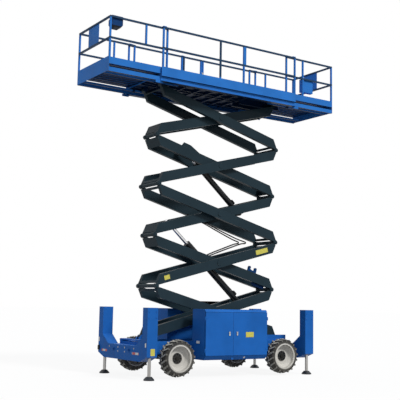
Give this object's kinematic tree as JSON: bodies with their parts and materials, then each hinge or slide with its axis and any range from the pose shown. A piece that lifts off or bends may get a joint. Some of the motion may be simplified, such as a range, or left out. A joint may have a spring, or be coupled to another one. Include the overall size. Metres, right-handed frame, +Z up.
{
  "type": "rough-terrain scissor lift",
  "caption": "Self-propelled rough-terrain scissor lift with a raised arm stack, an extending railed platform, outriggers and side housings.",
  "frame": {"origin": "on the ground under the middle of the machine, midway between the outrigger feet", "axes": "+Z up, +X along the machine towards its rear, -Y the near side with the full-width doors"},
  "size_m": [6.69, 2.33, 8.085],
  "materials": {
    "blue_paint": "gloss",
    "arm_paint": "satin",
    "tyre": "matte",
    "rim_paint": "satin",
    "steel": "satin",
    "cylinder_paint": "satin",
    "chrome": "polished",
    "black_metal": "satin",
    "control_case": "satin"
  },
  "bodies": {
    "chassis": {"chassis_frame": "blue_paint", "front_outrigger_beam": "blue_paint", "rear_outrigger_beam": "blue_paint", "front_axle": "black_metal", "rear_axle": "black_metal", "engine_block": "black_metal", "ladder_rungs": "black_metal", "near_housing": "blue_paint", "far_housing": "blue_paint", "tie_down_rings": "blue_paint", "near_front_post": "blue_paint", "near_rear_post": "blue_paint", "far_front_post": "blue_paint", "far_rear_post": "blue_paint", "front_cowl": "blue_paint", "battery_box": "black_metal"},
    "platform": {"main_deck": "blue_paint", "deck_underframe": "black_metal", "main_rails": "blue_paint"},
    "front_extension": {"front_extension": "blue_paint", "control_box": "control_case"},
    "rear_extension": {"rear_extension": "blue_paint"},
    "entry_gate": {"entry_gate": "blue_paint"},
    "near_steering_knuckle": {"near_steering_knuckle": "black_metal"},
    "near_front_door": {"near_front_door": "blue_paint"},
    "near_front_leg": {"near_front_leg": "steel"},
    "near_front_wheel": {"near_front_tyre": "tyre", "near_front_rim": "rim_paint"},
    "near_rear_door": {"near_rear_door": "blue_paint"},
    "near_rear_leg": {"near_rear_leg": "steel"},
    "near_rear_wheel": {"near_rear_tyre": "tyre", "near_rear_rim": "rim_paint"},
    "far_steering_knuckle": {"far_steering_knuckle": "black_metal"},
    "far_front_door": {"far_front_door": "blue_paint"},
    "far_front_leg": {"far_front_leg": "steel"},
    "far_front_wheel": {"far_front_tyre": "tyre", "far_front_rim": "rim_paint"},
    "far_rear_door": {"far_rear_door": "blue_paint"},
    "far_rear_leg": {"far_rear_leg": "steel"},
    "far_rear_wheel": {"far_rear_tyre": "tyre", "far_rear_rim": "rim_paint"},
    "inner_arms_1": {"inner_arms_1": "arm_paint"},
    "outer_arms_1": {"outer_arms_1": "arm_paint"},
    "inner_arms_2": {"inner_arms_2": "arm_paint", "maintenance_prop": "blue_paint"},
    "outer_arms_2": {"outer_arms_2": "arm_paint"},
    "inner_arms_3": {"inner_arms_3": "arm_paint"},
    "outer_arms_3": {"outer_arms_3": "arm_paint"},
    "inner_arms_4": {"inner_arms_4": "arm_paint"},
    "outer_arms_4": {"outer_arms_4": "arm_paint"},
    "inner_arms_5": {"inner_arms_5": "arm_paint"},
    "outer_arms_5": {"outer_arms_5": "arm_paint"},
    "lower_cylinder_barrel": {"lower_cylinder_barrel": "cylinder_paint"},
    "lower_cylinder_rod": {"lower_cylinder_rod": "chrome"},
    "upper_cylinder_barrel": {"upper_cylinder_barrel": "cylinder_paint"},
    "upper_cylinder_rod": {"upper_cylinder_rod": "chrome"}
  },
  "joints": [
    {"name": "lift", "type": "hinge", "parent": "chassis", "child": "inner_arms_1", "pos_m": [-1.74, 0, 0.875], "axis": [0, -1, 0], "range_deg": [-14.99, 26.3]},
    {"name": "cross_1", "type": "hinge", "parent": "inner_arms_1", "child": "outer_arms_1", "pos_m": [0, 0, 1.4705], "axis": [0, -1, 0], "range_deg": [-52.6, 29.98]},
    {"name": "knuckle_1", "type": "hinge", "parent": "outer_arms_1", "child": "outer_arms_2", "pos_m": [-1.74, 0, 2.066], "axis": [0, -1, 0], "range_deg": [-29.98, 52.6]},
    {"name": "knuckle_2", "type": "hinge", "parent": "outer_arms_2", "child": "outer_arms_3", "pos_m": [1.74, 0, 3.257], "axis": [0, -1, 0], "range_deg": [-52.6, 29.98]},
    {"name": "knuckle_3", "type": "hinge", "parent": "outer_arms_3", "child": "outer_arms_4", "pos_m": [-1.74, 0, 4.448], "axis": [0, -1, 0], "range_deg": [-29.98, 52.6]},
    {"name": "knuckle_4", "type": "hinge", "parent": "outer_arms_4", "child": "outer_arms_5", "pos_m": [1.74, 0, 5.639], "axis": [0, -1, 0], "range_deg": [-52.6, 29.98]},
    {"name": "cross_2", "type": "hinge", "parent": "outer_arms_2", "child": "inner_arms_2", "pos_m": [0, 0, 2.6615], "axis": [0, -1, 0], "range_deg": [-52.6, 29.98]},
    {"name": "cross_3", "type": "hinge", "parent": "outer_arms_3", "child": "inner_arms_3", "pos_m": [0, 0, 3.8525], "axis": [0, -1, 0], "range_deg": [-29.98, 52.6]},
    {"name": "cross_4", "type": "hinge", "parent": "outer_arms_4", "child": "inner_arms_4", "pos_m": [0, 0, 5.0435], "axis": [0, -1, 0], "range_deg": [-52.6, 29.98]},
    {"name": "cross_5", "type": "hinge", "parent": "outer_arms_5", "child": "inner_arms_5", "pos_m": [0, 0, 6.2345], "axis": [0, -1, 0], "range_deg": [-29.98, 52.6]},
    {"name": "platform_level", "type": "hinge", "parent": "outer_arms_5", "child": "platform", "pos_m": [-1.74, 0, 6.83], "axis": [0, -1, 0], "range_deg": [-14.99, 26.3]},
    {"name": "lower_cylinder_pivot", "type": "hinge", "parent": "inner_arms_1", "child": "lower_cylinder_barrel", "pos_m": [0.92998, 0, 1.68959], "axis": [0, -1, 0], "range_deg": [-59.17, 33.73]},
    {"name": "lower_cylinder_stroke", "type": "slide", "parent": "lower_cylinder_barrel", "child": "lower_cylinder_rod", "axis": [-0.7475, 0, 0.6642], "range_m": [-0.6447, 1.131]},
    {"name": "upper_cylinder_pivot", "type": "hinge", "parent": "inner_arms_3", "child": "upper_cylinder_barrel", "pos_m": [0.85002, 0, 3.97977], "axis": [0, -1, 0], "range_deg": [-59.17, 33.73]},
    {"name": "upper_cylinder_stroke", "type": "slide", "parent": "upper_cylinder_barrel", "child": "upper_cylinder_rod", "axis": [-0.7563, 0, 0.6543], "range_m": [-0.4423, 0.776]},
    {"name": "near_steer", "type": "hinge", "parent": "chassis", "child": "near_steering_knuckle", "pos_m": [-1.5, -0.78, 0.455], "axis": [0, 0, 1], "range_deg": [-30, 30]},
    {"name": "far_steer", "type": "hinge", "parent": "chassis", "child": "far_steering_knuckle", "pos_m": [-1.5, 0.78, 0.455], "axis": [0, 0, 1], "range_deg": [-30, 30]},
    {"name": "near_front_wheel_spin", "type": "hinge", "parent": "near_steering_knuckle", "child": "near_front_wheel", "pos_m": [-1.5, -0.98, 0.455], "axis": [0, 1, 0], "continuous": true},
    {"name": "near_front_leg_slide", "type": "slide", "parent": "chassis", "child": "near_front_leg", "axis": [0, 0, 1], "range_m": [-0.25, 0.35]},
    {"name": "near_front_door_hinge", "type": "hinge", "parent": "chassis", "child": "near_front_door", "pos_m": [-0.832, -1.1, 1], "axis": [0, 0, -1], "range_deg": [0, 110]},
    {"name": "near_rear_wheel_spin", "type": "hinge", "parent": "chassis", "child": "near_rear_wheel", "pos_m": [1.5, -0.98, 0.455], "axis": [0, 1, 0], "continuous": true},
    {"name": "near_rear_leg_slide", "type": "slide", "parent": "chassis", "child": "near_rear_leg", "axis": [0, 0, 1], "range_m": [-0.25, 0.35]},
    {"name": "near_rear_door_hinge", "type": "hinge", "parent": "chassis", "child": "near_rear_door", "pos_m": [0.972, -1.1, 1], "axis": [0, 0, 1], "range_deg": [0, 110]},
    {"name": "far_front_wheel_spin", "type": "hinge", "parent": "far_steering_knuckle", "child": "far_front_wheel", "pos_m": [-1.5, 0.98, 0.455], "axis": [0, 1, 0], "continuous": true},
    {"name": "far_front_leg_slide", "type": "slide", "parent": "chassis", "child": "far_front_leg", "axis": [0, 0, 1], "range_m": [-0.25, 0.35]},
    {"name": "far_front_door_hinge", "type": "hinge", "parent": "chassis", "child": "far_front_door", "pos_m": [-0.832, 1.1, 1], "axis": [0, 0, 1], "range_deg": [0, 110]},
    {"name": "far_rear_wheel_spin", "type": "hinge", "parent": "chassis", "child": "far_rear_wheel", "pos_m": [1.5, 0.98, 0.455], "axis": [0, 1, 0], "continuous": true},
    {"name": "far_rear_leg_slide", "type": "slide", "parent": "chassis", "child": "far_rear_leg", "axis": [0, 0, 1], "range_m": [-0.25, 0.35]},
    {"name": "far_rear_door_hinge", "type": "hinge", "parent": "chassis", "child": "far_rear_door", "pos_m": [0.972, 1.1, 1], "axis": [0, 0, -1], "range_deg": [0, 110]},
    {"name": "front_extension_slide", "type": "slide", "parent": "platform", "child": "front_extension", "axis": [1, 0, 0], "range_m": [0, 1.3]},
    {"name": "rear_extension_slide", "type": "slide", "parent": "platform", "child": "rear_extension", "axis": [-1, 0, 0], "range_m": [0, 1.3]},
    {"name": "gate_hinge", "type": "hinge", "parent": "platform", "child": "entry_gate", "pos_m": [-0.334, 0.834, 7.5], "axis": [0, 0, -1], "range_deg": [0, 90]}
  ],
  "couplings": [
    {"joint": "cross_1", "follows": "lift", "ratio": -2},
    {"joint": "knuckle_1", "follows": "lift", "ratio": 2},
    {"joint": "knuckle_2", "follows": "lift", "ratio": -2},
    {"joint": "knuckle_3", "follows": "lift", "ratio": 2},
    {"joint": "knuckle_4", "follows": "lift", "ratio": -2},
    {"joint": "cross_2", "follows": "lift", "ratio": -2},
    {"joint": "cross_3", "follows": "lift", "ratio": 2},
    {"joint": "cross_4", "follows": "lift", "ratio": -2},
    {"joint": "cross_5", "follows": "lift", "ratio": 2},
    {"joint": "platform_level", "follows": "lift", "ratio": 1},
    {"joint": "lower_cylinder_pivot", "follows": "lift", "ratio": -2.25},
    {"joint": "lower_cylinder_stroke", "follows": "lift", "m_per_rad": 2.4637},
    {"joint": "upper_cylinder_pivot", "follows": "lift", "ratio": -2.25},
    {"joint": "upper_cylinder_stroke", "follows": "lift", "m_per_rad": 1.6902},
    {"joint": "far_steer", "follows": "near_steer", "ratio": 1}
  ]
}
